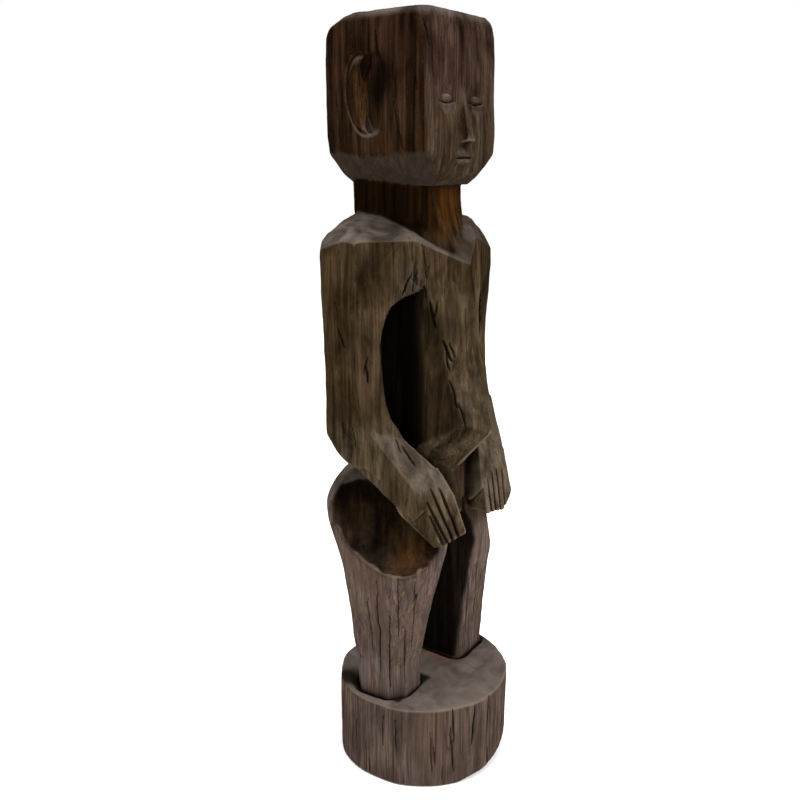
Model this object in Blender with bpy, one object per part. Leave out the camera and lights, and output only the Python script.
"""Carved guardian / ancestor figure: a standing man with his hands on his thighs,
cut from one log of dark hardwood together with the round stump he stands on.

Frame: +Z up, the figure faces -Y, his own right side is -X. The origin is the
centre of the flat underside of the stump. Units are metres.

The real object is one block of wood. It is laid out here as its carved members,
each a closed solid, parted from its neighbours by a 0.3 mm saw kerf.
"""
import math

import bmesh
import bpy
from mathutils import Matrix, Vector

for o in list(bpy.data.objects):
    bpy.data.objects.remove(o, do_unlink=True)

MM = 0.001

# ---- driving dimensions, in millimetres ----
HEIGHT = 350.0          # underside of the stump to the crown of the head
STUMP_R = 42.0          # the log the figure stands on
STUMP_H = 41.0
HIP_LOW = 112.0         # where the thighs run into the hips
WAIST = 153.0           # hips to trunk
NECK_LOW = 266.0        # trunk to neck
JAW_LOW = 279.0         # neck to head
SHOULDER_X = 46.0       # half of the width over the shoulders
TRUNK_X = 24.0          # seam of trunk and upper arm
ELBOW_Z = 172.0         # seam of upper arm and forearm
HEAD_X = 26.5           # half of the head's width
KERF = 0.3              # saw kerf between two members


def wood(name, rgb, rough):
    m = bpy.data.materials.new(name)
    m.use_nodes = True
    b = m.node_tree.nodes["Principled BSDF"]
    b.inputs["Base Color"].default_value = (*rgb, 1.0)
    b.inputs["Roughness"].default_value = rough
    b.inputs["Metallic"].default_value = 0.0
    return m


root = bpy.data.objects.new("figure_origin", None)
bpy.context.collection.objects.link(root)


def add(name, bm, rgb=(0.045, 0.03, 0.02), rough=0.62, cutter=False):
    bmesh.ops.recalc_face_normals(bm, faces=bm.faces)
    me = bpy.data.meshes.new(name)
    bm.to_mesh(me)
    bm.free()
    o = bpy.data.objects.new(name, me)
    bpy.context.collection.objects.link(o)
    o.parent = root
    if cutter:
        o.hide_render = True
        o.display_type = "WIRE"
    else:
        me.materials.append(wood("wood_" + name, rgb, rough))
    return o


def loft(rings, bm=None):
    """Skin a stack of rings that all have the same number of points, and cap both ends."""
    bm = bm or bmesh.new()
    rows = [[bm.verts.new(Vector(p) * MM) for p in ring] for ring in rings]
    n = len(rows[0])
    for a, b in zip(rows, rows[1:]):
        for i in range(n):
            j = (i + 1) % n
            bm.faces.new((a[i], a[j], b[j], b[i]))
    bm.faces.new(list(reversed(rows[0])))
    bm.faces.new(rows[-1])
    return bm


def block(z, xl, xr, yf, yb, cf=5.0, cb=5.0, sf=None, sb=None, tilt=0.0):
    """Eight-sided section of a squared timber: x from xl to xr, y from yf to yb,
    front corners cut back by cf across and sf along, back corners by cb and sb.
    tilt raises the back edge over the front edge."""
    sf = cf if sf is None else sf
    sb = cb if sb is None else sb
    pts = [(xl + cf, yf), (xr - cf, yf), (xr, yf + sf), (xr, yb - sb),
           (xr - cb, yb), (xl + cb, yb), (xl, yb - sb), (xl, yf + sf)]
    ym = 0.5 * (yf + yb)
    return [(x, y, z + tilt * (y - ym)) for x, y in pts]


def swept(centre, along, across, wide, deep, c=0.3):
    """Eight-sided section square to the direction along; wide runs along across."""
    t = Vector(along).normalized()
    a = Vector(across)
    a = (a - t * a.dot(t)).normalized()
    d = t.cross(a)
    w, h = wide / 2, deep / 2
    k = c * min(wide, deep)
    uv = [(-w + k, -h), (w - k, -h), (w, -h + k), (w, h - k), (w - k, h), (-w + k, h), (-w, h - k), (-w, -h + k)]
    cv = Vector(centre)
    return [tuple(cv + a * u - d * s) for u, s in uv]


def flip(ring):
    """Mirror image of a ring on the figure's other side."""
    return [(-x, y, z) for x, y, z in ring]


def cut(obj, cutter):
    m = obj.modifiers.new("cut_" + cutter.name, "BOOLEAN")
    m.operation = "DIFFERENCE"
    m.solver = "EXACT"
    m.object = cutter
    return m


def prism(profile, x0, x1):
    """A bar of constant (y, z) profile from x0 to x1."""
    return loft([[(x0, y, z) for y, z in profile], [(x1, y, z) for y, z in profile]])


# ---- the stump: a short round log with hand-cut, slightly uneven sides ----
def log_ring(z, r, n=36):
    out = []
    for i in range(n):
        a = 2 * math.pi * i / n
        k = r * (1 + 0.010 * math.sin(3 * a + 0.6) + 0.006 * math.sin(5 * a + 2.0))
        out.append((k * math.cos(a), k * math.sin(a) * 0.985, z))
    return out


add("stump", loft([log_ring(0.0, STUMP_R - 0.9), log_ring(1.6, STUMP_R - 0.1), log_ring(20.0, STUMP_R + 0.2),
                   log_ring(STUMP_H - 1.6, STUMP_R), log_ring(STUMP_H, STUMP_R - 1.4)]),
    (0.09, 0.06, 0.045), 0.7)

# ---- legs: full thighs that taper straight down to footless ankles on the stump ----
FOOT = STUMP_H + KERF
LEG_TOP = HIP_LOW - KERF / 2
for side, k in (("right", -1), ("left", 1)):
    dx = 2.5            # the pair stands a little to the figure's left on the stump
    rows = []
    wide = 0.0 if k < 0 else 2.5        # the left leg is the stouter one
    for z, xi, xo, yf, yb, c in ((FOOT, 11.5, 36.5, -8.0, 20.0, 6.0), (56.0, 11.5, 36.5, -8.5, 20.5, 6.5),
                                 (77.0, 12.0, 38.5, -12.0, 22.5, 7.0), (97.0, 10.0, 41.5, -17.0, 26.5, 8.0),
                                 (LEG_TOP, 5.0, 43.0, -18.5, 31.0, 8.0)):
        a, b = (dx - xo, dx - xi) if k < 0 else (dx + xi, dx + xo)
        if k > 0 and z < 96.0:
            b += wide
        rows.append(block(z, a, b, yf, yb, c, c))
    add(side + "_leg", loft(rows), (0.10, 0.07, 0.055), 0.62)

# ---- hips: broad buttocks behind, the loin tongue hanging in front ----
hips = add("hips", loft([
    block(HIP_LOW + KERF / 2, -40.5, 45.0, -17.5, 31.5, 8.0, 8.0),
    block(124.0, -40.0, 43.5, -15.5, 34.5, 8.5, 8.0),
    block(136.0, -38.5, 40.5, -13.5, 34.0, 9.0, 8.5),
    block(146.0, -34.0, 35.0, -12.5, 29.0, 9.0, 10.0),
    block(WAIST - KERF / 2, -27.5, 28.0, -12.0, 23.5, 9.0, 10.0)]),
    (0.06, 0.035, 0.022), 0.6)
tongue = add("loin_tongue", loft([
    block(128.0, -1.0, 5.0, -20.5, -16.5, 1.0, 1.0),
    block(142.0, -4.5, 8.5, -21.5, -14.0, 2.0, 2.0),
    block(WAIST - KERF / 2, -7.0, 11.0, -21.0, -12.5, 2.5, 2.5)]), (0.045, 0.03, 0.02), 0.6)
# front of the hips is cut back where the tongue lies on it
cut(hips, add("crotch_cut", prism([(-30.0, 111.0), (-30.0, 128.0), (-10.0, 118.0), (34.0, 116.0), (34.0, 111.0)],
                                  -4.0, 8.0), cutter=True))

# ---- trunk: square shoulders, flat chest, pot belly that ends in a wedge ----
add("trunk", loft([
    block(WAIST + KERF / 2, -18.0, 20.0, -20.5, 19.0, 12.0, 6.0, 12.0, 6.0),
    block(160.0, -19.5, 21.5, -27.5, 18.5, 13.0, 6.0, 13.0, 6.0),
    block(168.0, -20.0, 22.0, -34.0, 18.0, 15.5, 6.0, 17.0, 6.0),
    block(178.0, -19.0, 21.0, -30.0, 17.5, 13.0, 6.0, 15.0, 6.0),
    block(200.0, -18.0, 19.5, -22.5, 18.5, 9.0, 6.0, 10.0, 6.0),
    block(224.0, -20.0, 21.0, -20.0, 21.0, 8.0, 5.0, 8.0, 5.0),
    block(232.0, -TRUNK_X + KERF / 2, TRUNK_X - KERF / 2, -20.0, 24.5, 9.0, 3.0, 9.0, 3.0),
    block(246.0, -TRUNK_X + KERF / 2, TRUNK_X - KERF / 2, -19.5, 26.5, 11.0, 3.0, 10.0, 3.0),
    block(256.0, -TRUNK_X + KERF / 2, TRUNK_X - KERF / 2, -15.0, 27.5, 12.0, 3.0, 8.0, 3.0),
    block(NECK_LOW - KERF / 2, -19.0, 19.0, -11.5, 31.0, 7.0, 5.0)]),
    (0.05, 0.033, 0.022), 0.6)

# ---- arms: squared, hanging clear of the trunk, bent at the elbow towards the thighs ----
LIFT = {"right": 0.0, "left": 3.5}      # the left hand sits a little higher
for side, k in (("right", -1), ("left", 1)):
    xin = TRUNK_X + KERF / 2

    def arm(z, xo, xi, yf, yb, c=4.5, tilt=0.0):
        ring = block(z, -xo, -xi, yf, yb, c, c, tilt=tilt)
        return ring if k < 0 else flip(ring)

    add(side + "_upper_arm", loft([
        arm(ELBOW_Z + KERF / 2, SHOULDER_X, 27.5, 0.5, 26.0, 3.5),
        arm(190.0, SHOULDER_X + 0.3, 28.0, 1.5, 26.0, 3.5),
        arm(212.0, SHOULDER_X + 0.2, 28.0, 0.5, 26.0, 3.5),
        arm(226.0, SHOULDER_X, 26.5, -2.0, 26.5, 3.5),
        arm(233.0, SHOULDER_X, xin, -4.5, 26.5, 3.5),
        arm(246.0, SHOULDER_X - 0.8, xin, -8.5, 27.5, 3.5),
        arm(254.0, SHOULDER_X - 3.0, xin, -9.5, 27.5, 3.5),
        arm(265.0, 29.0, xin, -6.0, 27.0, 1.5)]), (0.055, 0.038, 0.025), 0.6)

    fwd = (0.22, -0.72, -0.66)
    rows = [block(ELBOW_Z - KERF / 2, -SHOULDER_X, -27.5, 0.5, 26.0, 3.5, 3.5),
            block(166.5, -SHOULDER_X + 0.4, -27.0, -4.5, 24.0, 4.0, 4.0, tilt=0.12),
            swept((-35.0, 6.0, 158.5), (0.10, -0.62, -0.62), (1, 0, 0), 17.5, 21.5, 0.22),
            swept((-31.0, -6.5, 150.0), fwd, (1, 0.1, 0.0), 16.5, 20.0, 0.22),
            swept((-27.0, -15.5, 142.4 + LIFT[side]), fwd, (1, 0.2, 0.1), 17.0, 15.5, 0.2)]
    add(side + "_forearm", loft([r if k < 0 else flip(r) for r in rows]), (0.055, 0.038, 0.025), 0.6)

    hf = (0.16, -0.45, -0.88)
    w0 = Vector((-27.0, -15.5, 142.4 + LIFT[side])) + Vector(fwd).normalized() * KERF
    rows = [swept(w0, fwd, (1, 0.2, 0.1), 17.5, 15.0, 0.2),
            swept((-24.5, -20.0, 136.0 + LIFT[side]), hf, (1, 0.2, 0.1), 19.5, 11.0, 0.2),
            swept((-22.2, -24.5, 128.5 + LIFT[side]), hf, (1, 0.2, 0.1), 19.0, 8.5, 0.2),
            swept((-20.4, -27.5, 121.5 + LIFT[side]), hf, (1, 0.2, 0.1), 15.5, 5.5, 0.25)]
    hand = add(side + "_hand", loft([r if k < 0 else flip(r) for r in rows]), (0.05, 0.034, 0.024), 0.6)
    # three grooves part the four fingers
    for i, x in enumerate((-28.0, -23.6, -19.2)):
        top = Vector((x - 0.5, -27.5, 138.0 + LIFT[side]))
        end = Vector((x + 3.0, -34.5, 118.0 + LIFT[side]))
        g = [swept(top, end - top, (1, 0, 0), 0.9, 4.0, 0.2), swept(end, end - top, (1, 0, 0), 1.3, 7.5, 0.2)]
        cut(hand, add("%s_groove_%d" % (side, i), loft([r if k < 0 else flip(r) for r in g]), cutter=True))

# ---- the thighs are gouged away behind each forearm and hand ----
for side, k in (("right", -1), ("left", 1)):
    fwd = (0.22, -0.72, -0.66)
    hf = (0.16, -0.45, -0.88)
    rows = [swept((-39.0, 18.0, 172.0), (0.10, -0.62, -0.62), (1, 0, 0), 27.0, 33.0, 0.3),
            swept((-36.0, 4.0, 157.5), (0.10, -0.62, -0.62), (1, 0, 0), 25.5, 29.0, 0.3),
            swept((-33.0, -6.0, 149.0), fwd, (1, 0.1, 0.0), 24.5, 26.0, 0.3),
            swept((-29.5, -15.0, 141.0), fwd, (1, 0.2, 0.1), 25.0, 20.0, 0.3),
            swept((-28.0, -22.0, 128.5), hf, (1, 0.2, 0.1), 29.0, 13.5, 0.3),
            swept((-26.5, -27.5, 115.5), hf, (1, 0.2, 0.1), 27.0, 12.0, 0.3)]
    cut(hips, add(side + "_scoop", loft([r if k < 0 else flip(r) for r in rows]), cutter=True))

# ---- neck ----
add("neck", loft([
    block(NECK_LOW + KERF / 2, -18.5, 18.5, -11.0, 31.0, 7.0, 5.0),
    block(271.0, -15.5, 15.5, -10.0, 31.0, 6.0, 5.0),
    block(JAW_LOW - KERF, -15.5, 15.5, -10.0, 31.0, 6.0, 5.0)]), (0.09, 0.045, 0.02), 0.62)

# ---- head: a squared block with a bevelled jaw, a wedge nose and slit eyes ----
head = add("head", loft([
    block(JAW_LOW, -18.5, 18.5, -14.5, 30.5, 4.0, 5.0),
    block(287.0, -22.5, 22.5, -17.5, 35.5, 4.5, 5.0),
    block(297.0, -25.8, 25.8, -19.0, 38.5, 4.5, 5.5),
    block(311.0, -HEAD_X, HEAD_X, -18.0, 39.0, 4.0, 5.5),
    block(320.0, -HEAD_X, HEAD_X, -18.8, 39.0, 4.0, 5.5),
    block(341.0, -HEAD_X, HEAD_X, -16.5, 39.0, 4.0, 6.0),
    block(347.0, -HEAD_X + 0.8, HEAD_X - 0.8, -15.5, 38.0, 4.5, 6.0),
    block(HEIGHT, -HEAD_X + 3.0, HEAD_X - 3.0, -12.5, 35.5, 5.0, 6.0)]), (0.05, 0.035, 0.027), 0.62)
nose = add("nose_block", loft([
    block(300.0, -4.2, 4.2, -23.0, -15.0, 1.2, 1.0),
    block(303.0, -4.0, 4.0, -24.0, -15.0, 1.4, 1.0),
    block(318.5, -2.4, 2.4, -19.3, -15.0, 1.0, 1.0)]), cutter=True)
m = head.modifiers.new("nose", "BOOLEAN")
m.operation = "UNION"
m.solver = "EXACT"
m.object = nose
for side, k in (("right", -1), ("left", 1)):
    # eye slit under the brow, cut upwards into a small ledge
    eye = prism([(-24.0, 314.6), (-24.0, 312.2), (-16.2, 312.6)], k * 5.5, k * 18.5)
    cut(head, add(side + "_eye_cut", eye, cutter=True))
    # the ear stands up as a flap in front of which the side of the head is hollowed
    ear_cut = loft([[(k * x, y, z) for y, z in ((1.0, 327.0), (13.0, 329.0), (14.0, 314.0), (9.5, 299.0), (3.0, 305.0))]
                    for x in (23.5, 28.5)])
    cut(head, add(side + "_ear_hollow", ear_cut, cutter=True))
    ear = loft([[(k * x, y, z) for y, z in ((13.6, 328.5), (19.0, 331.0), (25.5, 325.0), (26.5, 312.0), (21.5, 301.0), (14.0, 299.5))]
                for x in (HEAD_X + KERF, HEAD_X + 2.2)])
    add(side + "_ear", ear, (0.10, 0.06, 0.035), 0.6)
# mouth: a short shallow slit
cut(head, add("mouth_cut", prism([(-24.0, 292.6), (-24.0, 291.2), (-16.6, 291.9)], -6.5, 6.5), cutter=True))
